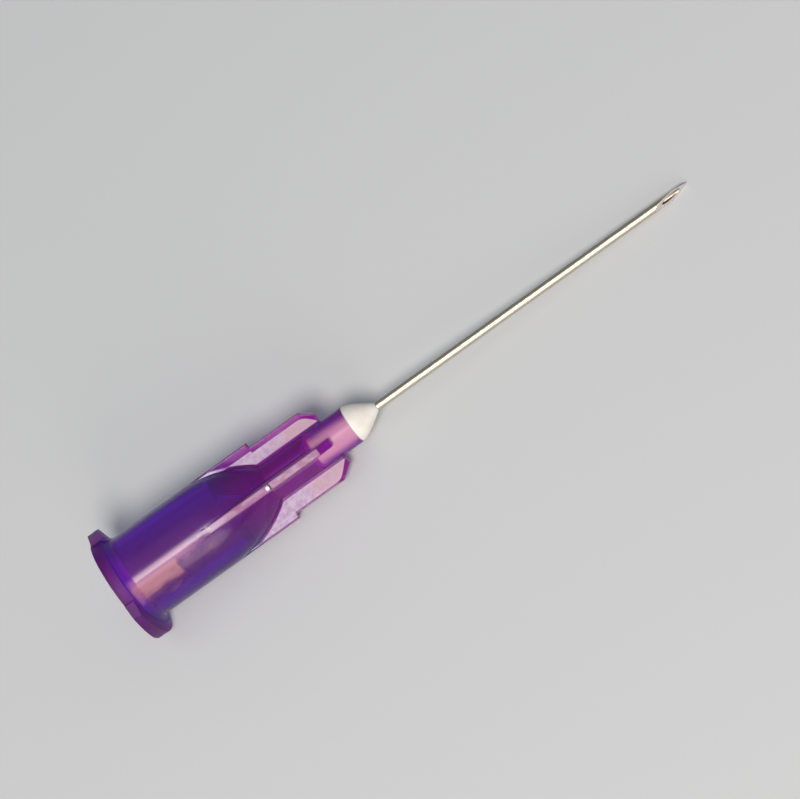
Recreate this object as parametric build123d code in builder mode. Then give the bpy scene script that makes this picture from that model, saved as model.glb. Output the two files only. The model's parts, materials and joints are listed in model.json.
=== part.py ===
from build123d import *
import os
from math import atan2, cos, pi, radians, sin, tan

# Hypodermic needle, 0.55 mm by 25 mm, with a Luer lock hub.
# Millimetres, +Z up. The needle lies on its side as it comes to rest on a hard table: rolled over
# until two of its four fins look down, on the hub's collar and on the tube close to the point. The
# origin is below its middle, on the table, and the needle points along +X.
# Lengths run along the needle's axis, forward from the hub's mouth. Angles of the lugs are counted
# from the side of the hub, up to its upper fin.

# Hub: barrel, shoulder and nose
hub_length = 17.8
barrel_radius = 2.9
shoulder_start = 6.6
shoulder_end = 11.5
nose_radius = 1.3
nose_blend = 0.5
rim_round = 0.1

# Hub: collar and the two lugs
collar_radius = 3.37
collar_width = 0.72
collar_root = 1.3
collar_blend = 0.3
lug_radius = 3.9
lug_width = 0.75
lug_front = 0.9
lug_root_radius = 2.6
lug_flank = 0.4
lug_lead = 2.5
lug_start_angle = -77.0
lug_end_angle = 12.0
lug_flat = 3.43

# Hub: fins
fin_count = 4
fin_thickness = 0.57
fin_reach = 2.88
fin_step_after = 0.2
fin_low_reach = 2.55
fin_chamfer = 0.9
fin_setback = 1.5
fin_end_reach = 1.9
fin_edge_round = 0.1

# Hub: socket, passage and well
socket_radius = 2.15
socket_taper = 0.06
socket_depth = 8.2
socket_lead_in = 0.12
funnel_radius = 0.9
well_radius = 0.95
well_depth = 2.8
well_funnel = 0.9

# Cannula
cannula_radius = 0.275
cannula_bore_radius = 0.15
cannula_exposed = 25.8
cannula_rear = 9.4
cannula_clearance = 0.02
bevel_angle = 12.0
bevel_turn = 30.0
lancet_angle = 19.0
lancet_turn = 42.0

# Adhesive
bead_length = 1.95
bead_rim_step = 0.04
bead_meniscus = 0.45

# Rest: how far the needle is rolled over, from the upper fin straight up
rest_roll = 39.0

# A lug leans like the thread that it locks with
lug_lean = lug_lead / (2 * pi * lug_radius)

# How the needle rests: the front edge of the collar touches the table, and so does the place on the
# rim of the ground point that gets there first as the needle tips forward
tip = hub_length + cannula_exposed


def wall_reach(turn):
    """Return how far forward the tube's wall reaches, at a turn from the middle of its bevel."""
    bevel = (cos(turn) + 1) / tan(radians(bevel_angle))
    side = radians(lancet_turn)
    lancets = [(cos(turn - s) + cos(s)) / tan(radians(lancet_angle)) for s in (-side, side)]
    return tip - cannula_radius * max(bevel, *lancets)


def contact_tilt(turn):
    """Return the tilt that brings the rim down to the table at a turn from the bevel's middle."""
    depth = cannula_radius * cos(turn - radians(180 - bevel_turn - rest_roll))
    return atan2(collar_radius - depth, wall_reach(turn) - collar_width)


rest_tilt = min(contact_tilt(radians(degree)) for degree in range(360))
mouth_height = collar_radius * cos(rest_tilt) + collar_width * sin(rest_tilt)

# The needle's axis, the directions of its upper fin and of its left side, and its section plane,
# which holds the upper fin: x forward along the needle, y away from it
forward = Vector(cos(rest_tilt), 0, -sin(rest_tilt))
turning = Axis((0, 0, 0), forward)
lift = Vector(sin(rest_tilt), 0, cos(rest_tilt))
up = lift.rotate(turning, rest_roll)
left = Vector(0, 1, 0).rotate(turning, rest_roll)
facing = up.rotate(turning, bevel_turn)
rear_reach = collar_radius * sin(rest_tilt)
front_reach = tip * cos(rest_tilt) - cannula_radius * facing.dot(lift) * sin(rest_tilt)
mouth = Vector((rear_reach - front_reach) / 2, 0, mouth_height)
needle_axis = Axis(mouth, forward)
section = Plane(origin=mouth, x_dir=forward, z_dir=-left)


def place(along, away=(0, 0, 0)):
    """Return the point at a length from the mouth, moved off the axis by a vector."""
    return mouth + forward * along + Vector(away)


def lug_plane(turn):
    """Return the section plane and the leaning axis of the lug at a turn about the needle."""
    outward = left.rotate(turning, turn)
    across = up.rotate(turning, turn)
    direction = forward - across * lug_lean
    axis = Axis(place(lug_front), direction)
    start = outward.rotate(Axis((0, 0, 0), direction), lug_start_angle)
    return Plane(origin=axis.position, x_dir=direction, z_dir=direction.cross(start)), axis


# One fin, standing up: its outer edges are rounded
fin_step = shoulder_end + fin_step_after
fin_end = hub_length - fin_setback
with BuildPart() as fin:
    with BuildSketch(section):
        with BuildLine():
            Polyline(
                (shoulder_start, nose_radius / 2),
                (shoulder_start, fin_reach),
                (fin_step, fin_reach),
                (fin_step, fin_low_reach),
                (fin_end - fin_chamfer, fin_low_reach),
                (fin_end, fin_end_reach),
                (fin_end, nose_radius / 2),
                close=True,
            )
        make_face()
    extrude(amount=fin_thickness / 2, both=True)
    flanks = fin.faces().filter_by(Axis((0, 0, 0), left))
    inner = fin.faces().sort_by(Axis((0, 0, 0), up))[0].edges()
    rear = fin.faces().sort_by(Axis((0, 0, 0), forward))[0].edges()
    outer = [e for e in flanks.edges() if e not in inner and e not in rear]
    fillet(outer, radius=fin_edge_round)

# Hub
with BuildPart() as hub:
    # Two lugs, each a stretch of a leaning ring, cut flat above, below and at the rear face
    for turn in (0, 180):
        plane, axis = lug_plane(turn)
        with BuildSketch(plane):
            with BuildLine():
                Polyline(
                    (lug_flank, lug_root_radius),
                    (0, lug_radius),
                    (-lug_width, lug_radius),
                    (-lug_width - lug_flank, lug_root_radius),
                    close=True,
                )
            make_face()
        revolve(axis=axis, revolution_arc=lug_end_angle - lug_start_angle)
    split(bisect_by=Plane(origin=mouth, z_dir=forward), keep=Keep.TOP)
    split(bisect_by=Plane(origin=place(0, up * lug_flat), z_dir=up), keep=Keep.BOTTOM)
    split(bisect_by=Plane(origin=place(0, -up * lug_flat), z_dir=up), keep=Keep.TOP)

    # Collar, barrel, shoulder and nose
    with BuildSketch(section) as outline:
        with BuildLine():
            Polyline(
                (0, 0),
                (0, collar_radius),
                (collar_width, collar_radius),
                (collar_root, barrel_radius),
                (shoulder_start, barrel_radius),
            )
            TangentArc((shoulder_start, barrel_radius), (shoulder_end, nose_radius), tangent=(1, 0))
            Polyline((shoulder_end, nose_radius), (hub_length, nose_radius), (hub_length, 0), (0, 0))
        make_face()
        corners = outline.vertices()
        fillet(corners.sort_by_distance((collar_root, barrel_radius))[0], radius=collar_blend)
        fillet(corners.sort_by_distance((shoulder_end, nose_radius))[0], radius=nose_blend)
        fillet(corners.sort_by_distance((hub_length, nose_radius))[0], radius=rim_round)
    revolve(axis=needle_axis)

    # Fins
    for n in range(fin_count):
        add(fin.part.rotate(needle_axis, 360 / fin_count * n))

    # Socket, funnel, passage and well
    socket_end_radius = socket_radius - socket_taper / 2 * socket_depth
    passage_radius = cannula_radius + cannula_clearance
    with BuildSketch(section):
        with BuildLine():
            Polyline(
                (0, 0),
                (0, socket_radius + socket_lead_in),
                (socket_lead_in, socket_radius - socket_taper / 2 * socket_lead_in),
                (socket_depth, socket_end_radius),
                (socket_depth, funnel_radius),
                (cannula_rear, passage_radius),
                (hub_length - well_depth - well_funnel, passage_radius),
                (hub_length - well_depth, well_radius),
                (hub_length, well_radius),
                (hub_length, 0),
                close=True,
            )
        make_face()
    revolve(axis=needle_axis, mode=Mode.SUBTRACT)
hub.part.label = "hub"

# Cannula: a tube, ground back to one long bevel and two lancet faces at the point
point = place(tip, -facing * cannula_radius)


def grind_plane(angle, turn):
    """Return the plane of a grind that ends at the point, turned to one side of the bevel."""
    away = facing.rotate(turning, turn)
    return Plane(origin=point, z_dir=away * cos(radians(angle)) + forward * sin(radians(angle)))


with BuildPart() as cannula:
    with BuildSketch(Plane(origin=place(cannula_rear), z_dir=forward)):
        Circle(cannula_radius)
        Circle(cannula_bore_radius, mode=Mode.SUBTRACT)
    extrude(amount=tip - cannula_rear)
    split(bisect_by=grind_plane(bevel_angle, 0), keep=Keep.BOTTOM)
    split(bisect_by=grind_plane(lancet_angle, lancet_turn), keep=Keep.BOTTOM)
    split(bisect_by=grind_plane(lancet_angle, -lancet_turn), keep=Keep.BOTTOM)
cannula.part.label = "cannula"

# Adhesive: it fills the well round the tube, and rises to a cone with a meniscus
with BuildPart() as adhesive:
    bead_end = hub_length + bead_length
    bead_waist = bead_end - bead_meniscus
    with BuildSketch(section):
        with BuildLine():
            Polyline(
                (hub_length - well_depth - well_funnel, cannula_radius),
                (hub_length - well_depth - well_funnel, passage_radius),
                (hub_length - well_depth, well_radius),
                (hub_length, well_radius),
                (hub_length, nose_radius - bead_rim_step),
            )
            Spline(
                (hub_length, nose_radius - bead_rim_step),
                (hub_length + bead_length * 0.5, nose_radius * 0.66),
                (bead_waist, cannula_radius * 1.9),
                (bead_end, cannula_radius),
                tangents=[(1, -0.12), (1, -0.25)],
            )
            Line((bead_end, cannula_radius), (hub_length - well_depth - well_funnel, cannula_radius))
        make_face()
    revolve(axis=needle_axis)
adhesive.part.label = "adhesive"

os.makedirs("parts", exist_ok=True)
export_step(hub.part, "parts/hub.step")
export_step(cannula.part, "parts/cannula.step")
export_step(adhesive.part, "parts/adhesive.step")
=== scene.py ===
"""Dress a hypodermic needle and light it: violet moulded hub, ivory adhesive and fine steel tube."""
import json
import logging
import math
from dataclasses import dataclass, field
from enum import Enum
from typing import Any, Dict, List, Mapping, Optional, Sequence, Tuple, Union

import bpy
from mathutils import Matrix, Vector


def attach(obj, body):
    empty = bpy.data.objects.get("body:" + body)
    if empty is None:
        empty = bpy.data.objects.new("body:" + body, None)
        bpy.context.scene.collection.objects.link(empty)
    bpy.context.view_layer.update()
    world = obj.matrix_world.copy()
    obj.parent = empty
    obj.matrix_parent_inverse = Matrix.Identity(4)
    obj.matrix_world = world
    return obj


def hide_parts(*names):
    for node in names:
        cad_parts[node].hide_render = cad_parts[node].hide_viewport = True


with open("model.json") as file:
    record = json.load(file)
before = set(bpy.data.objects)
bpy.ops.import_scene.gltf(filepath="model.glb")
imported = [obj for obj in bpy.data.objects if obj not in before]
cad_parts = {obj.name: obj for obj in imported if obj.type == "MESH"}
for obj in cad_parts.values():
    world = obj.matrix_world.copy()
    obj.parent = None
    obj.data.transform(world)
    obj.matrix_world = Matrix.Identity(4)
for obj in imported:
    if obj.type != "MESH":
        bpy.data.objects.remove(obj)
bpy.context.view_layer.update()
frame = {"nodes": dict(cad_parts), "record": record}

MM = 0.001
BODY = "root"

# Points of a piece that lie nearer than this are one point, in millimetres
SEAM = 1e-5

Colour = Tuple[float, float, float]
Span = Tuple[float, float]
Operand = Union["Value", float]

log = logging.getLogger("needle")


class Math(Enum):
    """The sums that a Math node can do here."""

    ADD = "ADD"
    SUBTRACT = "SUBTRACT"
    MULTIPLY = "MULTIPLY"
    POWER = "POWER"
    MINIMUM = "MINIMUM"
    SMOOTH_MINIMUM = "SMOOTH_MIN"
    MAXIMUM = "MAXIMUM"
    ABSOLUTE = "ABSOLUTE"
    SQUARE_ROOT = "SQRT"
    SINE = "SINE"
    COSINE = "COSINE"


class Value:
    """A number on a socket. Its operators add Math nodes to the tree that it belongs to."""

    def __init__(self, graph: "Graph", socket: bpy.types.NodeSocket) -> None:
        """Keep the socket and its graph."""
        self.graph = graph
        self.socket = socket

    def __add__(self, other: Operand) -> "Value":
        """Return self + other."""
        return self.graph.sum(Math.ADD, self, other)

    def __radd__(self, other: Operand) -> "Value":
        """Return other + self."""
        return self.graph.sum(Math.ADD, other, self)

    def __sub__(self, other: Operand) -> "Value":
        """Return self - other."""
        return self.graph.sum(Math.SUBTRACT, self, other)

    def __rsub__(self, other: Operand) -> "Value":
        """Return other - self."""
        return self.graph.sum(Math.SUBTRACT, other, self)

    def __mul__(self, other: Operand) -> "Value":
        """Return self * other."""
        return self.graph.sum(Math.MULTIPLY, self, other)

    def __rmul__(self, other: Operand) -> "Value":
        """Return other * self."""
        return self.graph.sum(Math.MULTIPLY, other, self)

    def __pow__(self, other: Operand) -> "Value":
        """Return self to the power of other."""
        return self.graph.sum(Math.POWER, self, other)

    def __neg__(self) -> "Value":
        """Return -self."""
        return self.graph.sum(Math.MULTIPLY, self, -1.0)

    def __abs__(self) -> "Value":
        """Return the size of self without its sign."""
        return self.graph.sum(Math.ABSOLUTE, self)

    def least(self, other: Operand) -> "Value":
        """Return the smaller of self and other."""
        return self.graph.sum(Math.MINIMUM, self, other)

    def most(self, other: Operand) -> "Value":
        """Return the larger of self and other."""
        return self.graph.sum(Math.MAXIMUM, self, other)

    def cosine(self) -> "Value":
        """Return the cosine of self."""
        return self.graph.sum(Math.COSINE, self)

    def sine(self) -> "Value":
        """Return the sine of self."""
        return self.graph.sum(Math.SINE, self)

    def root(self) -> "Value":
        """Return the square root of self."""
        return self.graph.sum(Math.SQUARE_ROOT, self)


class Graph:
    """A shader or geometry tree, with one method that adds nodes to it."""

    def __init__(self, tree: bpy.types.NodeTree) -> None:
        """Take the tree and empty it."""
        self.tree = tree
        tree.nodes.clear()

    def node(
        self,
        kind: str,
        settings: Optional[Mapping[str, Any]] = None,
        inputs: Optional[Mapping[Union[str, int], Any]] = None,
    ) -> bpy.types.Node:
        """Add a node, set it up, and then feed its sockets.

        Args:
            kind: The node's type.
            settings: Its own properties, set first.
            inputs: Values, Value objects or output sockets, by the input's name or number.

        Returns:
            The new node.
        """
        made = self.tree.nodes.new(kind)
        for name, value in (settings or {}).items():
            setattr(made, name, value)
        for key, value in (inputs or {}).items():
            self._feed(made.inputs[key], value)
        return made

    def _feed(self, socket: bpy.types.NodeSocket, value: Any) -> None:
        """Link a socket to an output, or give it a plain value."""
        if isinstance(value, Value):
            self.tree.links.new(value.socket, socket)
        elif isinstance(value, bpy.types.NodeSocket):
            self.tree.links.new(value, socket)
        elif socket.type == "RGBA" and len(value) == 3:
            socket.default_value = (*value, 1.0)
        else:
            socket.default_value = value

    def sum(self, operation: Math, *operands: Operand) -> Value:
        """Return the result of one Math node.

        Args:
            operation: What the node does.
            operands: Its numbers or Value objects, in order.

        Returns:
            The result.
        """
        inputs = dict(enumerate(operands))
        made = self.node("ShaderNodeMath", {"operation": operation.value}, inputs)
        return Value(self, made.outputs[0])

    def step(self, value: Operand, start: float, end: float) -> Value:
        """Return 0 below start, 1 above end, and a smooth rise between them.

        Args:
            value: The number to test.
            start: Where the rise starts.
            end: Where it ends.

        Returns:
            The share.
        """
        settings = {"interpolation_type": "SMOOTHSTEP"}
        inputs = {"Value": value, "From Min": start, "From Max": end}
        return Value(self, self.node("ShaderNodeMapRange", settings, inputs).outputs["Result"])

    def band(self, value: Value, start: float, end: float, soft: float) -> Value:
        """Return 1 between start and end, and 0 outside, with soft edges.

        Args:
            value: The number to test.
            start: The lower edge's middle.
            end: The upper edge's middle.
            soft: Half of an edge's width.

        Returns:
            The share.
        """
        rise = self.step(value, start - soft, start + soft)
        return rise * (1 - self.step(value, end - soft, end + soft))

    def split(self, vector: bpy.types.NodeSocket) -> Tuple[Value, Value, Value]:
        """Return the three parts of a vector."""
        parts = self.node("ShaderNodeSeparateXYZ", inputs={0: vector}).outputs
        return Value(self, parts[0]), Value(self, parts[1]), Value(self, parts[2])

    def join(self, x: Operand, y: Operand, z: Operand) -> bpy.types.NodeSocket:
        """Return a vector made of three numbers."""
        return self.node("ShaderNodeCombineXYZ", inputs={0: x, 1: y, 2: z}).outputs[0]

    def noise(
        self,
        vector: bpy.types.NodeSocket,
        scale: float,
        detail: float = 3.0,
        roughness: float = 0.5,
    ) -> Value:
        """Return a smooth noise, about 0 to 1.

        Args:
            vector: The place.
            scale: About how many waves there are to a unit of the vector.
            detail: How many finer noises are added.
            roughness: How strong the finer ones are.

        Returns:
            The noise.
        """
        inputs = {"Vector": vector, "Scale": scale, "Detail": detail, "Roughness": roughness}
        made = self.node("ShaderNodeTexNoise", {"noise_dimensions": "3D"}, inputs)
        return Value(self, made.outputs[0])

    def blend(self, factor: Operand, first: Any, second: Any) -> bpy.types.NodeSocket:
        """Return the first colour where the factor is 0, and the second where it is 1.

        Args:
            factor: The second colour's share.
            first: A colour or a colour socket.
            second: A colour or a colour socket.

        Returns:
            The mixed colour.
        """
        settings = {"data_type": "RGBA", "blend_type": "MIX"}
        made = self.node("ShaderNodeMix", settings, {0: factor})
        self._feed(made.inputs[6], first)
        self._feed(made.inputs[7], second)
        return made.outputs[2]

    def bump(self, height: Value, strength: float, distance: float) -> bpy.types.NodeSocket:
        """Return a normal that is tilted by a height, whose full rise is a distance in metres."""
        inputs = {"Strength": strength, "Distance": distance, "Height": height}
        return self.node("ShaderNodeBump", None, inputs).outputs[0]


@dataclass(frozen=True)
class NeedleAxis:
    """Where the needle lies: its mouth, its direction, and the sides that its fins look to."""

    mouth: Vector
    forward: Vector
    upper: Vector

    @classmethod
    def from_record(cls, record: Mapping[str, Any]) -> "NeedleAxis":
        """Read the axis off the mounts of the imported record.

        Args:
            record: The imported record, with the mounts luer_socket and rear_face.

        Returns:
            The axis, in metres.
        """
        mounts = {mount["name"]: mount for mount in record["mounts"]}
        mouth = Vector(mounts["luer_socket"]["pos_m"])
        forward = -Vector(mounts["luer_socket"]["axis"]).normalized()
        across = Vector(mounts["rear_face"]["pos_m"]) - mouth
        upper = (across - forward * across.dot(forward)).normalized()
        return cls(mouth, forward, upper)

    @property
    def matrix(self) -> Matrix:
        """The turn and shift from the needle's own millimetres to metres in the frame.

        Along the needle is x, towards its left fin is y, and towards its upper fin is z.
        """
        side = self.upper.cross(self.forward)
        turn = Matrix((self.forward, side, self.upper)).transposed().to_4x4()
        return Matrix.Translation(self.mouth) @ turn @ Matrix.Scale(MM, 4)

    def locate(self, graph: Graph) -> bpy.types.NodeSocket:
        """Return a shader's place on the needle, in millimetres along it, to its left and up.

        Args:
            graph: The shader's graph.

        Returns:
            The place as a vector.
        """
        place = graph.node("ShaderNodeTexCoord").outputs["Object"]
        turn = self.matrix.to_3x3().normalized().to_euler("XYZ")
        inputs = {"Vector": place, "Location": self.mouth, "Rotation": turn, "Scale": (MM, MM, MM)}
        return graph.node("ShaderNodeMapping", {"vector_type": "TEXTURE"}, inputs).outputs[0]


def new_material(name: str) -> Tuple[bpy.types.Material, Graph]:
    """Return an empty material that uses nodes, and its graph.

    Args:
        name: The material's name.

    Returns:
        The material and the graph.
    """
    material = bpy.data.materials.new(name)
    material.use_nodes = True
    return material, Graph(material.node_tree)


def surface(graph: Graph, inputs: Mapping[str, Any]) -> bpy.types.NodeSocket:
    """Return a surface shader whose sockets are fed by name."""
    return graph.node("ShaderNodeBsdfPrincipled", inputs=inputs).outputs[0]


def finish_material(
    graph: Graph,
    shine: bpy.types.NodeSocket,
    volume: Optional[bpy.types.NodeSocket] = None,
) -> None:
    """Add the output that the shaders go to.

    Args:
        graph: The material's graph.
        shine: The surface shader.
        volume: The volume shader, where there is one.
    """
    links = {"Surface": shine}
    if volume is not None:
        links["Volume"] = volume
    graph.node("ShaderNodeOutputMaterial", inputs=links)


class HubSpot:
    """A shader's place on the hub in millimetres, and how far it is from the axis."""

    def __init__(self, graph: Graph, axis: NeedleAxis) -> None:
        """Find the place, and keep its graph.

        Args:
            graph: The shader's graph.
            axis: Where the needle lies.
        """
        self.graph = graph
        self.vector = axis.locate(graph)
        self.along, self.left, self.up = graph.split(self.vector)
        self.away = (self.left ** 2 + self.up ** 2).root()
        self.reach = abs(self.left).most(abs(self.up))
        self.thin = abs(self.left).least(abs(self.up))

    def drawn(self, stretch: float) -> bpy.types.NodeSocket:
        """Return the place with its length shortened, so that a noise on it runs lengthwise."""
        return self.graph.join(self.along * stretch, self.left, self.up)


@dataclass(frozen=True)
class VioletPlastic:
    """Clear violet moulding: polished barrel, etched fins, and a nose that is filled with white.

    Lengths are in millimetres, along the needle and away from its axis. A span is where a finish
    starts and where it ends, or the two ends of its soft border.
    """

    # The clear wall: in the middle, to its left and right, in front, and on the collar
    wall: Colour = (0.50, 0.07, 0.62)
    # Painted shade: the wall's sides are darker and bluer, darkest to the right
    shaded_wall_left: Colour = (0.41, 0.10, 0.74)
    shaded_wall_right: Colour = (0.22, 0.02, 0.52)
    wall_front: Colour = (0.86, 0.035, 0.76)
    rim: Colour = (0.46, 0.02, 0.46)
    # Painted bluish reflection on the collar's front face
    rim_front_reflection: Colour = (0.28, 0.05, 0.66)

    # The etched sides and satin edges of the fins: pale partly from their own finish and partly from
    # a painted sheen
    etched: Colour = (0.68, 0.54, 0.74)
    etched_shade: Colour = (0.52, 0.35, 0.56)
    etched_front: Colour = (0.65, 0.40, 0.49)
    edge: Colour = (0.60, 0.26, 0.44)
    edge_rear: Colour = (0.54, 0.16, 0.42)

    # The wall over the white adhesive, with a painted highlight; a painted glow beside the ridge; a
    # painted highlight along the ridge; and a small painted white glint on the upper fin's step
    backed_and_lit: Colour = (0.78, 0.34, 0.56)
    lit: Colour = (0.68, 0.27, 0.33)
    ridge: Colour = (0.80, 0.36, 0.56)
    step_glint: Colour = (0.95, 0.92, 0.90)

    # What the plastic does to light
    absorbing: Colour = (0.67, 0.09, 0.94)
    density: float = 1700.0
    ior: float = 1.43
    specular: float = 0.32

    # The hub's own sizes
    collar_radius: float = 3.37
    barrel_radius: float = 2.9
    shoulder: float = 4.9
    nose_radius: float = 1.3
    well_floor: float = 15.0
    fin_half: float = 0.285
    fin_start: float = 6.6
    fin_step: float = 11.7
    fin_front: float = 16.3
    fin_chamfer: float = 17.85
    fin_reach: float = 2.88
    fin_low_reach: float = 2.55

    # Where the finishes lie on it
    collar_face: Span = (0.4, 0.9)
    collar_end: Span = (0.9, 1.4)
    rear_shade: Span = (0.2, 2.2)
    side_shade: Span = (0.9, 3.1)
    middle: Span = (9.5, 14.9)
    front_start: Span = (8.0, 12.0)
    well_start: Span = (14.6, 15.6)
    ridge_width: Span = (-0.38, 0.28)
    ridge_length: Span = (0.9, 11.4)
    ridge_fade: Span = (4.6, 7.0)
    glow_width: Span = (0.7, 1.8)
    glow_rear: Span = (0.9, 4.25)
    glow_front: Span = (4.7, 6.9)
    backed_lit_width: Span = (-0.86, 0.74)
    edge_start: Span = (6.2, 9.6)
    edge_change: Span = (11.4, 12.0)
    etched_change: Span = (14.6, 16.6)
    glint_place: float = 11.56
    glint_radius: float = 0.12

    # The clear rims round the etched sides, and how steeply their faces lean; the left fin's rim is
    # wider, a band of darker clear plastic that is painted shade
    wide_rim: float = 0.38
    narrow_rim: float = 0.14
    rear_rim: float = 0.18
    rim_corner: float = 0.5
    rim_slope: float = 0.34
    root_rim: float = 0.15
    root_slope: float = 0.35
    collar_slope: float = 0.16

    def material(self, axis: NeedleAxis) -> bpy.types.Material:
        """Return the hub's material: clear and etched plastic and the nose over white adhesive, each
        in its place, with painted glow, highlights, sheen, shade and a glint laid over it.

        Args:
            axis: Where the needle lies.

        Returns:
            The material.
        """
        material, graph = new_material("violet_polypropylene")
        spot = HubSpot(graph, axis)
        on_fins = graph.step(spot.along, self.fin_start, self.fin_start + 0.3)
        cloud = graph.noise(spot.vector, 0.5, 2.0)
        rims, flank = self._fin_sides(graph, spot, on_fins)
        shine = self._clear(graph, spot, cloud, rims)
        # Painted glow: a pool of light painted on the wall beside the ridge
        lit = self._moulding(graph, self.lit, 0.34, 0.45)
        shine = self._mix(graph, self._glow(graph, spot), shine, lit)
        # Painted highlight along the top of the barrel
        ridge = self._moulding(graph, self.ridge, 0.3, 0.2)
        shine = self._mix(graph, self._ridge(graph, spot), shine, ridge)
        # The white adhesive showing through the nose, with a painted highlight in its middle band and
        # painted shade at its sides
        backed_and_lit = self._moulding(graph, self.backed_and_lit, 0.38, 0.45)
        shine = self._mix(graph, self._over_well(graph, spot, cloud), shine, backed_and_lit)
        # Painted sheen on the fins' satin edges and etched sides
        shine = self._satin(graph, spot, on_fins, shine)
        shine = self._mix(graph, flank, shine, self._etched(graph, spot))
        # Painted glint: a small white spot on the upper fin's step
        glint = self._moulding(graph, self.step_glint, 0.12, 0.0)
        shine = self._mix(graph, self._glint_mask(graph, spot), shine, glint)
        inputs = {"Color": self.absorbing, "Density": self.density}
        depth = graph.node("ShaderNodeVolumeAbsorption", inputs=inputs).outputs[0]
        finish_material(graph, shine, depth)
        return material

    def _moulding(
        self,
        graph: Graph,
        colour: Any,
        roughness: Operand,
        clearness: float,
        normal: Optional[bpy.types.NodeSocket] = None,
    ) -> bpy.types.NodeSocket:
        """Return a surface of this plastic, from clear to milky.

        Args:
            graph: The shader's graph.
            colour: A colour or a colour socket.
            roughness: How matt it is.
            clearness: How much light goes through it.
            normal: A tilted normal, if it has one.

        Returns:
            The surface.
        """
        inputs = {
            "Base Color": colour,
            "Roughness": roughness,
            "IOR": self.ior,
            "Specular IOR Level": self.specular,
            "Transmission Weight": clearness,
        }
        if normal is not None:
            inputs["Normal"] = normal
        return surface(graph, inputs)

    @staticmethod
    def _mix(graph: Graph, factor: Operand, first: Any, second: Any) -> bpy.types.NodeSocket:
        """Return the first surface where the factor is 0, and the second where it is 1."""
        return graph.node("ShaderNodeMixShader", inputs={0: factor, 1: first, 2: second}).outputs[0]

    def _clear(
        self, graph: Graph, spot: HubSpot, cloud: Value, rims: Value
    ) -> bpy.types.NodeSocket:
        """Return the clear plastic: polished on the barrel and satin on the collar.

        Args:
            graph: The shader's graph.
            spot: The place on the hub.
            cloud: A slow noise.
            rims: How the fins' rims lean, as a height.

        Returns:
            The surface.
        """
        skin = graph.noise(spot.vector, 5.0, 3.0)
        on_collar = 1 - graph.step(spot.along, *self.collar_end)
        outside = graph.step(spot.away, self.collar_radius - 0.08, self.collar_radius - 0.04)
        height = rims + outside * spot.along * self.collar_slope + skin * 0.0012
        wall = self._wall_colour(graph, spot, cloud)
        colour = graph.blend(on_collar, wall, self._collar_colour(graph, spot))
        roughness = 0.16 + 0.07 * skin + 0.30 * on_collar
        return self._moulding(graph, colour, roughness, 0.86, graph.bump(height, 1.0, MM))

    def _wall_colour(self, graph: Graph, spot: HubSpot, cloud: Value) -> bpy.types.NodeSocket:
        """Return the wall's colour, with painted shade that makes it darker and bluer to the sides
        and darkest to the right, and redder in front.

        Args:
            graph: The shader's graph.
            spot: The place on the hub.
            cloud: A slow noise.

        Returns:
            The colour.
        """
        flow = graph.noise(spot.drawn(0.3), 1.3, 4.0, 0.6)
        # Painted shade towards the sides of the barrel
        aside = graph.step(abs(spot.left + 0.2) + cloud, *self.side_shade)
        aside = aside * (1 - graph.band(spot.along, *self.middle, 1.0))
        aside = aside * graph.step(spot.along, *self.rear_shade)
        sides = graph.blend(graph.step(spot.left, -0.6, 0.6), self.shaded_wall_right, self.shaded_wall_left)
        wall = graph.blend(aside * (0.7 + 0.6 * flow).least(1.0), self.wall, sides)
        on_nose = 1 - graph.step(spot.reach, self.nose_radius, self.nose_radius + 0.2)
        over_well = graph.step(spot.along, *self.well_start) * on_nose
        front = graph.step(spot.along, *self.front_start) * (1 - over_well)
        return graph.blend(front, wall, self.wall_front)

    def _collar_colour(self, graph: Graph, spot: HubSpot) -> bpy.types.NodeSocket:
        """Return the collar's colour, with a painted bluish reflection on its front face and plain on
        its rim and lugs.

        Args:
            graph: The shader's graph.
            spot: The place on the hub.

        Returns:
            The colour.
        """
        lugs = graph.step(spot.away, self.collar_radius, self.collar_radius + 0.2)
        face = graph.step(spot.along, *self.collar_face) * (1 - lugs)
        return graph.blend(face, self.rim, self.rim_front_reflection)

    def _ridge(self, graph: Graph, spot: HubSpot) -> Value:
        """Return how strong the painted highlight is along the top of the barrel.

        Args:
            graph: The shader's graph.
            spot: The place on the hub.

        Returns:
            The share.
        """
        width = graph.band(spot.left, *self.ridge_width, 0.2)
        length = graph.band(spot.along, *self.ridge_length, 0.2)
        strength = 0.36 - 0.28 * graph.step(spot.along, *self.ridge_fade)
        return width * length * strength * graph.step(spot.up, 0.5, 1.0)

    def _glow(self, graph: Graph, spot: HubSpot) -> Value:
        """Return a mask of the painted glow beside the ridge: a pool of light painted on the wall,
        paler and warmer.

        Args:
            graph: The shader's graph.
            spot: The place on the hub.

        Returns:
            The mask.
        """
        ragged = graph.noise(spot.drawn(0.3), 1.6, 2.0)
        across = 1 - graph.step(-spot.left + (ragged - 0.5) * 2.2, *self.glow_width)
        across = across * graph.step(-spot.left, 0.0, 0.35)
        rear = graph.band(spot.along + (ragged - 0.5) * 0.3, *self.glow_rear, 0.12) * 0.8
        front = graph.band(spot.along, *self.glow_front, 0.4) * 0.3 * graph.step(ragged, 0.4, 0.6)
        return across * (rear + front) * graph.step(spot.up, 0.5, 1.0)

    def _over_well(self, graph: Graph, spot: HubSpot, cloud: Value) -> Value:
        """Return a mask of the nose's round wall where the white adhesive shows through, kept to a
        middle band across the nose that carries a painted highlight, with painted shade left at both
        sides.

        Args:
            graph: The shader's graph.
            spot: The place on the hub.
            cloud: A slow noise.

        Returns:
            The mask.
        """
        length = graph.step(spot.along, self.well_floor - 0.08, self.well_floor + 0.08)
        on_nose = 1 - graph.step(spot.reach, self.nose_radius, self.nose_radius + 0.08)
        width = graph.band(spot.left + 0.3 * (cloud - 0.5), *self.backed_lit_width, 0.3)
        return length * on_nose * width

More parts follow.
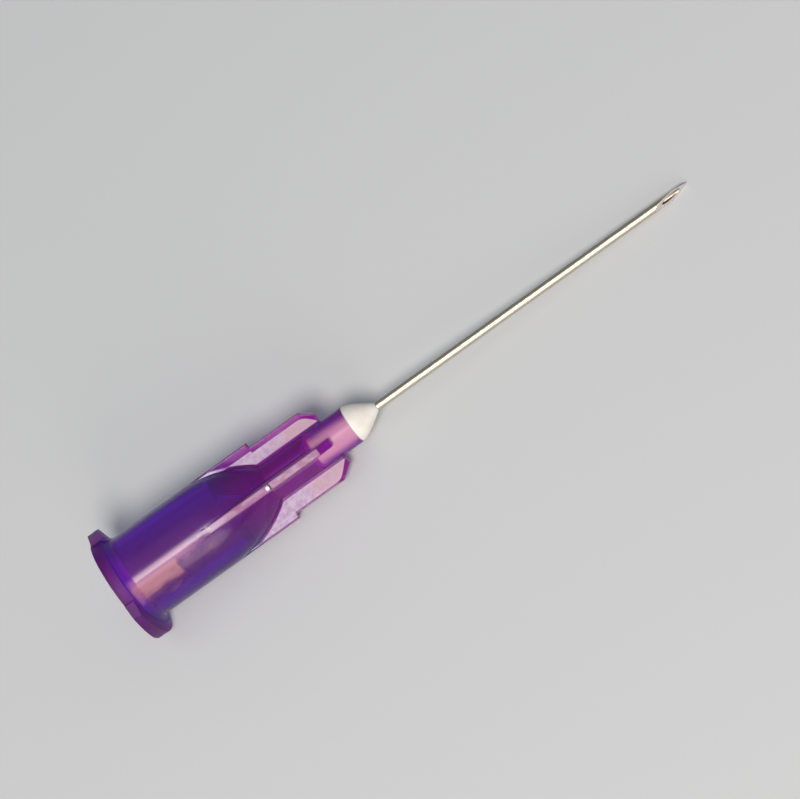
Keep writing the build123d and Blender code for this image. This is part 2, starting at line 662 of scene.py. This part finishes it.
    def _satin(
        self, graph: Graph, spot: HubSpot, on_fins: Value, shine: bpy.types.NodeSocket
    ) -> bpy.types.NodeSocket:
        """Return a surface with the fins' streaked satin edges, pale with a painted sheen, laid over
        it.

        Args:
            graph: The shader's graph.
            spot: The place on the hub.
            on_fins: A mask of the fins' length.
            shine: The surface below.

        Returns:
            The surface.
        """
        streaks = graph.noise(spot.drawn(0.35), 5.0, 3.0)
        top = 1 - graph.step(spot.thin, self.fin_half - 0.05, self.fin_half - 0.01)
        top = top * graph.step(spot.reach, self.fin_low_reach - 0.06, self.fin_low_reach - 0.02)
        uneven = 0.6 + 0.4 * graph.step(streaks, 0.35, 0.65)
        strength = graph.step(spot.along, *self.edge_start) * uneven
        colour = graph.blend(graph.step(spot.along, *self.edge_change), self.edge_rear, self.edge)
        satin = self._moulding(graph, colour, 0.42 + 0.16 * streaks, 0.5)
        return self._mix(graph, on_fins * top * strength, shine, satin)

    def _etched(self, graph: Graph, spot: HubSpot) -> bpy.types.NodeSocket:
        """Return the finish of the fins' etched sides: pale partly from the frosting and partly from
        a painted sheen, mottled, and warmer to the front where the painted sheen fades.

        Args:
            graph: The shader's graph.
            spot: The place on the hub.

        Returns:
            The surface.
        """
        grain = graph.noise(spot.vector, 18.0, 4.0, 0.65)
        mottle = graph.noise(spot.vector, 3.0, 5.0, 0.62)
        cloud = graph.noise(spot.vector, 1.0, 2.0)
        pale = graph.blend(graph.step(mottle, 0.38, 0.66), self.etched, self.etched_shade)
        warm = graph.step(spot.along + cloud * 4.0, *self.etched_change) * 0.8
        colour = graph.blend(warm, pale, self.etched_front)
        normal = graph.bump(grain * 0.5 + mottle, 0.3, 0.02 * MM)
        return self._moulding(graph, colour, 0.36 + 0.2 * mottle, 0.35, normal)

    def _fin_sides(self, graph: Graph, spot: HubSpot, on_fins: Value) -> Tuple[Value, Value]:
        """Return how the clear rims of the fins' sides lean, and a mask of what is etched; the left
        fin's rim is wider, a band of darker clear plastic that is painted shade.

        Args:
            graph: The shader's graph.
            spot: The place on the hub.
            on_fins: A mask of the fins' length.

        Returns:
            The rims' height, and the mask.
        """
        side = graph.band(spot.thin, self.fin_half - 0.05, self.fin_half + 0.02, 0.01) * on_fins
        lower = graph.step(spot.along, self.fin_step - 0.02, self.fin_step + 0.02)
        limit = self.fin_reach - (self.fin_reach - self.fin_low_reach) * lower
        # The left fin's wider clear rim is painted shade along its edge
        wide = graph.step(spot.left, self.nose_radius - 0.1, self.nose_radius)
        extra = self.wide_rim - self.narrow_rim + self.rear_rim * (1 - lower)
        top = limit - spot.reach - extra * wide
        chamfer = (self.fin_chamfer - spot.along - spot.reach) * 0.85
        front = (self.fin_front - spot.along).least(chamfer)
        inside = graph.sum(Math.SMOOTH_MINIMUM, top, front, self.rim_corner) - self.narrow_rim
        root = spot.reach - self._wall_reach(spot.along) - self.root_rim
        slope = root.least(0.0) * -self.root_slope - inside.least(0.0) * self.rim_slope
        return side * slope, side * graph.step(inside.least(root), -0.05, 0.05)

    def _wall_reach(self, along: Value) -> Value:
        """Return how far the round wall is from the axis, over the shoulder's arc and the nose.

        Args:
            along: The place along the needle.

        Returns:
            The distance.
        """
        fall = self.barrel_radius - self.nose_radius
        arc = (self.shoulder ** 2 + fall ** 2) / (2 * fall)
        run = (along - self.fin_start).most(0.0).least(self.shoulder)
        return (arc ** 2 - run ** 2).root() + (self.barrel_radius - arc)

    def _glint_mask(self, graph: Graph, spot: HubSpot) -> Value:
        """Return a mask of the small white painted glint on the upper fin's step.

        Args:
            graph: The shader's graph.
            spot: The place on the hub.

        Returns:
            The mask.
        """
        apart = ((spot.along - self.glint_place) ** 2 + spot.left ** 2).root()
        glint = 1 - graph.step(apart, self.glint_radius - 0.03, self.glint_radius + 0.02)
        return glint * graph.step(spot.up, 2.0, 2.1)


@dataclass(frozen=True)
class IvoryAdhesive:
    """Cured epoxy: ivory, satin, a little translucent."""

    pale: Colour = (0.86, 0.83, 0.79)
    warm: Colour = (0.80, 0.75, 0.69)

    def material(self, axis: NeedleAxis) -> bpy.types.Material:
        """Return the adhesive's material.

        Args:
            axis: Where the needle lies.

        Returns:
            The material.
        """
        material, graph = new_material("ivory_epoxy")
        place = axis.locate(graph)
        cloud = graph.noise(place, 1.2, 3.0)
        pores = graph.noise(place, 16.0, 3.0, 0.6)
        shine = surface(
            graph,
            {
                "Base Color": graph.blend(graph.step(cloud, 0.35, 0.75), self.pale, self.warm),
                "Roughness": 0.34 + 0.16 * pores,
                "Normal": graph.bump(cloud * 0.8 + pores * 0.25, 0.35, 0.03 * MM),
                "IOR": 1.5,
                "Subsurface Weight": 0.35,
                "Subsurface Radius": (1.0, 0.7, 0.45),
                "Subsurface Scale": 0.5 * MM,
                "Coat Weight": 0.15,
                "Coat Roughness": 0.2,
            },
        )
        finish_material(graph, shine)
        return material


@dataclass(frozen=True)
class DrawnSteel:
    """Bright stainless tube, with fine lines along it from the drawing die."""

    name: str = "drawn_steel"
    colour: Colour = (0.72, 0.65, 0.50)
    shade: Colour = (0.46, 0.41, 0.33)

    def material(self, axis: NeedleAxis) -> bpy.types.Material:
        """Return the tube's material.

        Args:
            axis: Where the needle lies.

        Returns:
            The material.
        """
        material, graph = new_material(self.name)
        along, left, up = graph.split(axis.locate(graph))
        lines = graph.noise(graph.join(along * 0.12, left, up), 26.0, 4.0, 0.6)
        patches = graph.noise(graph.join(along * 0.5, left, up), 1.6, 3.0)
        shine = surface(
            graph,
            {
                "Base Color": graph.blend(0.6 * lines + 0.4 * patches, self.colour, self.shade),
                "Metallic": 1.0,
                "Roughness": 0.28 + 0.10 * lines + 0.06 * patches,
                "Normal": graph.bump(lines, 1.0, 0.011 * MM),
            },
        )
        finish_material(graph, shine)
        return material


@dataclass(frozen=True)
class GroundSteel:
    """The ground faces of the point: fine scratches across them."""

    colour: Colour = (0.95, 0.86, 0.81)
    shade: Colour = (0.74, 0.65, 0.61)

    def material(self, axis: NeedleAxis) -> bpy.types.Material:
        """Return the ground faces' material.

        Args:
            axis: Where the needle lies.

        Returns:
            The material.
        """
        material, graph = new_material("ground_steel")
        along, left, up = graph.split(axis.locate(graph))
        scratches = graph.noise(graph.join(along, left * 0.1, up * 0.1), 60.0, 4.0, 0.7)
        shine = surface(
            graph,
            {
                "Base Color": graph.blend(scratches, self.colour, self.shade),
                "Metallic": 1.0,
                "Roughness": 0.2 + 0.16 * scratches,
                "Normal": graph.bump(scratches, 0.3, 0.003 * MM),
            },
        )
        finish_material(graph, shine)
        return material


class GeometryGraph(Graph):
    """A geometry tree with named inputs, which is baked to a plain mesh."""

    def __init__(self, name: str, sizes: Mapping[str, float]) -> None:
        """Make the tree, and one named input for each size.

        Args:
            name: The tree's name.
            sizes: Its inputs' names and values.
        """
        tree = bpy.data.node_groups.new(name, "GeometryNodeTree")
        super().__init__(tree)
        self.sizes = dict(sizes)
        for label in self.sizes:
            tree.interface.new_socket(label, in_out="INPUT", socket_type="NodeSocketFloat")
        tree.interface.new_socket("Geometry", in_out="OUTPUT", socket_type="NodeSocketGeometry")
        self.entry = self.node("NodeGroupInput")

    def size(self, label: str) -> Value:
        """Return a named input."""
        return Value(self, self.entry.outputs[label])

    def patch(self, across: int, rows: int) -> Tuple[bpy.types.NodeSocket, Value, Value]:
        """Add a square grid to be bent into a surface of revolution.

        Args:
            across: The number of steps round the axis.
            rows: The number of steps along the surface.

        Returns:
            The grid, its turn about the axis in radians, and its share of the way along it.
        """
        inputs = {"Size X": 1.0, "Size Y": 1.0, "Vertices X": across + 1, "Vertices Y": rows + 1}
        grid = self.node("GeometryNodeMeshGrid", None, inputs).outputs["Mesh"]
        u, v, _ = self.split(self.node("GeometryNodeInputPosition").outputs[0])
        return grid, (u + 0.5) * (-2 * math.pi), v + 0.5

    def bend(
        self,
        grid: bpy.types.NodeSocket,
        turn: Value,
        along: Operand,
        radius: Operand,
        material: bpy.types.Material,
    ) -> bpy.types.NodeSocket:
        """Wrap a grid round the needle's axis and give it a material.

        Args:
            grid: The grid's mesh.
            turn: Each point's turn about the axis.
            along: Each point's place along the axis.
            radius: Each point's distance from the axis.
            material: The finish of this surface.

        Returns:
            The surface.
        """
        spot = self.join(along, turn.sine() * radius, turn.cosine() * radius)
        moved = self.node("GeometryNodeSetPosition", None, {"Geometry": grid, "Position": spot})
        inputs = {"Geometry": moved.outputs[0], "Material": material}
        return self.node("GeometryNodeSetMaterial", None, inputs).outputs[0]

    def bake(self, name: str, surfaces: Sequence[bpy.types.NodeSocket]) -> bpy.types.Object:
        """Join the surfaces, close their seams, and run the tree once.

        Args:
            name: The name of the piece.
            surfaces: What the tree has made.

        Returns:
            The piece as a plain mesh, in the needle's own millimetres.
        """
        joined = self.node("GeometryNodeJoinGeometry")
        for surface in surfaces:
            self.tree.links.new(surface, joined.inputs[0])
        real = self.node("GeometryNodeRealizeInstances", None, {0: joined.outputs[0]}).outputs[0]
        inputs = {"Geometry": real, "Distance": SEAM}
        closed = self.node("GeometryNodeMergeByDistance", None, inputs)
        smooth = self.node("GeometryNodeSetShadeSmooth", None, {"Geometry": closed.outputs[0]})
        self.node("NodeGroupOutput", None, {0: smooth.outputs[0]})
        carrier = bpy.data.objects.new(name + "_carrier", bpy.data.meshes.new(name))
        bpy.context.scene.collection.objects.link(carrier)
        modifier = carrier.modifiers.new("build", "NODES")
        modifier.node_group = self.tree
        for item in self.tree.interface.items_tree:
            if item.item_type == "SOCKET" and item.in_out == "INPUT":
                modifier[item.identifier] = float(self.sizes[item.name])
        depsgraph = bpy.context.evaluated_depsgraph_get()
        mesh = bpy.data.meshes.new_from_object(carrier.evaluated_get(depsgraph))
        bpy.data.objects.remove(carrier)
        piece = bpy.data.objects.new(name, mesh)
        bpy.context.scene.collection.objects.link(piece)
        return piece


@dataclass
class Hub:
    """The moulded hub. Its form is the solid's own, and only its finish is added."""

    node: str = "hub"
    plastic: VioletPlastic = VioletPlastic()

    def dress(self, axis: NeedleAxis) -> List[bpy.types.Object]:
        """Give the hub its finish and return it.

        Args:
            axis: Where the needle lies.

        Returns:
            The hub, as the only piece.
        """
        hub = frame["nodes"][self.node]
        material = self.plastic.material(axis)
        for slot in hub.material_slots:
            slot.material = material
        return [hub]


@dataclass
class Cannula:
    """The steel tube with its ground point. Lengths are in millimetres from the hub's mouth."""

    rear: float = 9.4
    tip: float = 43.6
    radius: float = 0.275
    bore: float = 0.15
    bevel: float = 12.0
    bevel_turn: float = -30.0
    lancet: float = 19.0
    lancet_turn: float = 42.0
    straight_end: float = 40.4
    around: int = 160
    side_rows: int = 24
    ground_rows: int = 8
    rear_rows: int = 2
    steel: DrawnSteel = DrawnSteel()
    # The bore's steel is darker: painted shade inside the tube
    shaded_bore_steel: DrawnSteel = DrawnSteel("shaded_bore_steel", (0.40, 0.34, 0.30), (0.24, 0.20, 0.18))
    ground_steel: GroundSteel = GroundSteel()

    def build(self, axis: NeedleAxis) -> List[bpy.types.Object]:
        """Build the tube from its rules, ride it on the body, and return it.

        Args:
            axis: Where the needle lies.

        Returns:
            The tube, as the only piece.
        """
        drawn = self.steel.material(axis)
        inner = self.shaded_bore_steel.material(axis)
        ground = self.ground_steel.material(axis)
        graph = GeometryGraph(
            "tube_rule",
            {
                "rear": self.rear,
                "tip": self.tip,
                "radius": self.radius,
                "bore": self.bore,
                "straight end": self.straight_end,
            },
        )
        outer, bore = graph.size("radius"), graph.size("bore")
        rear, straight = graph.size("rear"), graph.size("straight end")
        surfaces = []
        grid, turn, share = graph.patch(self.around, self.side_rows)
        surfaces.append(graph.bend(grid, turn, rear + (straight - rear) * share, outer, drawn))
        grid, turn, share = graph.patch(self.around, self.side_rows)
        end = self._grind(graph, turn, outer)
        surfaces.append(graph.bend(grid, turn, straight + (end - straight) * share, outer, drawn))
        grid, turn, share = graph.patch(self.around, self.ground_rows)
        radius = outer + (bore - outer) * share
        surfaces.append(graph.bend(grid, turn, self._grind(graph, turn, radius), radius, ground))
        grid, turn, share = graph.patch(self.around, self.side_rows)
        end = self._grind(graph, turn, bore)
        surfaces.append(graph.bend(grid, turn, end + (straight - end) * share, bore, inner))
        grid, turn, share = graph.patch(self.around, self.side_rows)
        surfaces.append(graph.bend(grid, turn, straight + (rear - straight) * share, bore, inner))
        grid, turn, share = graph.patch(self.around, self.rear_rows)
        surfaces.append(graph.bend(grid, turn, rear, bore + (outer - bore) * share, ground))
        tube = graph.bake("cannula_tube", surfaces)
        return [place_piece(tube, axis, "cannula")]

    def _grind(self, graph: GeometryGraph, turn: Value, radius: Operand) -> Value:
        """Return how far the tube's wall reaches at a turn and radius, between its three grinds.

        Args:
            graph: The tube's graph.
            turn: The turn about the axis.
            radius: The distance from the axis.

        Returns:
            The place along the needle.
        """
        tip, outer = graph.size("tip"), graph.size("radius")
        facing = turn - math.radians(self.bevel_turn)
        reach = tip - (facing.cosine() * radius + outer) * (1 / math.tan(math.radians(self.bevel)))
        lean = 1 / math.tan(math.radians(self.lancet))
        for side in (-self.lancet_turn, self.lancet_turn):
            away = (facing - math.radians(side)).cosine() * radius
            reach = reach.least(tip - (away + outer * math.cos(math.radians(side))) * lean)
        return reach


@dataclass
class Adhesive:
    """The bead of epoxy round the tube, and its fill in the nose. Lengths are in millimetres."""

    well_start: float = 14.1
    well_floor: float = 15.0
    nose_front: float = 17.8
    bead_end: float = 19.75
    rim_radius: float = 1.26
    well_radius: float = 0.96
    tube_radius: float = 0.275
    wander: float = 0.012
    fullness: float = 1.65
    meniscus: float = 1.25
    around: int = 128
    funnel_rows: int = 8
    well_rows: int = 6
    rim_rows: int = 4
    cone_rows: int = 40
    tube_rows: int = 12
    epoxy: IvoryAdhesive = IvoryAdhesive()

    def build(self, axis: NeedleAxis) -> List[bpy.types.Object]:
        """Build the bead from its rules, ride it on the body, and return it.

        Args:
            axis: Where the needle lies.

        Returns:
            The bead, as the only piece.
        """
        epoxy = self.epoxy.material(axis)
        graph = GeometryGraph(
            "bead_rule",
            {
                "well start": self.well_start,
                "well floor": self.well_floor,
                "nose front": self.nose_front,
                "bead end": self.bead_end,
                "rim radius": self.rim_radius,
                "well radius": self.well_radius,
                "tube radius": self.tube_radius,
            },
        )
        start, floor, front, end = (
            graph.size(label) for label in ("well start", "well floor", "nose front", "bead end")
        )
        rim, well, tube = (
            graph.size(label) for label in ("rim radius", "well radius", "tube radius")
        )
        surfaces = []
        grid, turn, share = graph.patch(self.around, self.funnel_rows)
        radius = tube + (well - tube) * share
        surfaces.append(graph.bend(grid, turn, start + (floor - start) * share, radius, epoxy))
        grid, turn, share = graph.patch(self.around, self.well_rows)
        surfaces.append(graph.bend(grid, turn, floor + (front - floor) * share, well, epoxy))
        grid, turn, share = graph.patch(self.around, self.rim_rows)
        surfaces.append(graph.bend(grid, turn, front, well + (rim - well) * share, epoxy))
        grid, turn, share = graph.patch(self.around, self.cone_rows)
        swell = (1 - share ** self.fullness) ** self.meniscus
        lobes = (turn - 0.6).cosine() + (turn * 2).sine()
        uneven = (share * math.pi).sine() * self.wander * lobes
        radius = tube + (rim - tube) * swell + uneven
        surfaces.append(graph.bend(grid, turn, front + (end - front) * share, radius, epoxy))
        grid, turn, share = graph.patch(self.around, self.tube_rows)
        surfaces.append(graph.bend(grid, turn, end + (start - end) * share, tube, epoxy))
        bead = graph.bake("adhesive_bead", surfaces)
        return [place_piece(bead, axis, "adhesive")]


def place_piece(
    piece: bpy.types.Object, axis: NeedleAxis, node: str
) -> bpy.types.Object:
    """Lay a piece on the needle's axis and let it stand for its solid.

    Args:
        piece: The piece, in the needle's own millimetres.
        axis: Where the needle lies.
        node: The solid that it stands for.

    Returns:
        The piece, with its place in its mesh.
    """
    piece.data.transform(axis.matrix)
    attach(piece, BODY)
    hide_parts(node)
    return piece


def direction(azimuth: float, elevation: float) -> Vector:
    """Return the way from the needle to a viewer at an azimuth and an elevation in degrees.

    Args:
        azimuth: The viewer's turn about the vertical.
        elevation: The viewer's height.

    Returns:
        A vector of length 1.
    """
    turn, rise = math.radians(azimuth), math.radians(elevation)
    level = math.cos(rise)
    return Vector((math.sin(turn) * level, -math.cos(turn) * level, math.sin(rise)))


@dataclass
class Viewpoint:
    """The camera's place: where it looks at its target from, and its roll. Metres, degrees."""

    azimuth: float = 18.496
    elevation: float = 53.41
    roll: float = -52.989
    distance: float = 0.43519
    target: Vector = Vector((-0.000422, -0.000698, 0.002))

    @property
    def turn(self) -> Matrix:
        """The camera's turn: its x is the picture's right and its y is the picture's top."""
        upright = direction(self.azimuth, self.elevation).to_track_quat("Z", "Y")
        return upright.to_matrix().to_4x4() @ Matrix.Rotation(math.radians(self.roll), 4, "Z")

    def beside(self, right: float, up: float) -> Vector:
        """Return the way to a place at angles to the picture's right and top of the camera."""
        aside = Vector((math.tan(math.radians(right)), math.tan(math.radians(up)), 1.0))
        return (self.turn.to_3x3() @ aside).normalized()


@dataclass
class SoftBox:
    """A round light that looks at the needle's middle. Its width is the angle it fills in degrees."""

    name: str
    back: Vector
    width: float
    power: float
    colour: Colour
    distance: float = 0.6

    def place(self, target: Vector) -> bpy.types.Object:
        """Hang the light and return it.

        Args:
            target: What it looks at.

        Returns:
            The light.
        """
        data = bpy.data.lights.new(self.name, "AREA")
        data.shape = "DISK"
        data.size = 2 * self.distance * math.tan(math.radians(self.width / 2))
        data.energy = self.power
        data.color = self.colour
        light = bpy.data.objects.new(self.name, data)
        bpy.context.scene.collection.objects.link(light)
        light.location = target + self.back * self.distance
        light.rotation_euler = self.back.to_track_quat("Z", "Y").to_euler()
        return light


@dataclass
class Studio:
    """A pale floor, soft light and the camera at the photo's viewing angle. Metres, degrees."""

    view: Viewpoint = field(default_factory=Viewpoint)
    sensor: float = 36.0
    focal_share: float = 8.75
    floor_size: float = 1.6
    floor_colour: Colour = (0.66, 0.68, 0.71)
    sky_colour: Colour = (0.86, 0.92, 1.0)
    sky_strength: float = 0.22
    warm: Colour = (1.0, 0.93, 0.84)
    cool: Colour = (0.8, 0.9, 1.0)

    def build(self) -> None:
        """Add the floor, the sky, the lights and the camera."""
        self._floor()
        self._sky()
        for light in (
            SoftBox("key", self.view.beside(-7.6, -11.7), 20.0, 2.8, self.warm),
            SoftBox("side", self.view.beside(13.7, -39.4), 30.0, 0.9, self.warm),
            SoftBox("fill", direction(-70.0, 60.0), 60.0, 0.4, self.cool),
        ):
            light.place(self.view.target)
        self._camera()

    def _floor(self) -> None:
        """Add the floor."""
        half = self.floor_size / 2
        mesh = bpy.data.meshes.new("floor")
        corners = [(-half, -half, 0.0), (half, -half, 0.0), (half, half, 0.0), (-half, half, 0.0)]
        mesh.from_pydata(corners, [], [(0, 1, 2, 3)])
        floor = bpy.data.objects.new("floor", mesh)
        bpy.context.scene.collection.objects.link(floor)
        material, graph = new_material("pale_floor")
        finish_material(graph, surface(graph, {"Base Color": self.floor_colour, "Roughness": 0.75}))
        mesh.materials.append(material)

    def _sky(self) -> None:
        """Fill the surroundings with an even pale light."""
        world = bpy.data.worlds.new("studio")
        world.use_nodes = True
        graph = Graph(world.node_tree)
        inputs = {"Color": self.sky_colour, "Strength": self.sky_strength}
        shine = graph.node("ShaderNodeBackground", None, inputs).outputs[0]
        graph.node("ShaderNodeOutputWorld", None, {"Surface": shine})
        bpy.context.scene.world = world

    def _camera(self) -> None:
        """Add the camera and make it the scene's own."""
        data = bpy.data.cameras.new("camera")
        data.sensor_width = self.sensor
        data.lens = self.sensor * self.focal_share
        data.clip_start = 0.001
        data.clip_end = 10.0
        camera = bpy.data.objects.new("camera", data)
        bpy.context.scene.collection.objects.link(camera)
        back = direction(self.view.azimuth, self.view.elevation)
        place = self.view.target + back * self.view.distance
        camera.matrix_world = Matrix.Translation(place) @ self.view.turn
        bpy.context.scene.camera = camera


def main() -> None:
    """Dress every part of the needle, then light it."""
    logging.basicConfig(level=logging.INFO, format="%(name)s: %(message)s")
    axis = NeedleAxis.from_record(frame["record"])
    pieces = Hub().dress(axis) + Adhesive().build(axis) + Cannula().build(axis)
    for piece in pieces:
        log.info("%s: %d faces", piece.name, len(piece.data.polygons))
    Studio().build()
    bpy.context.scene.view_settings.view_transform = "Standard"


if __name__ == "__main__":
    main()
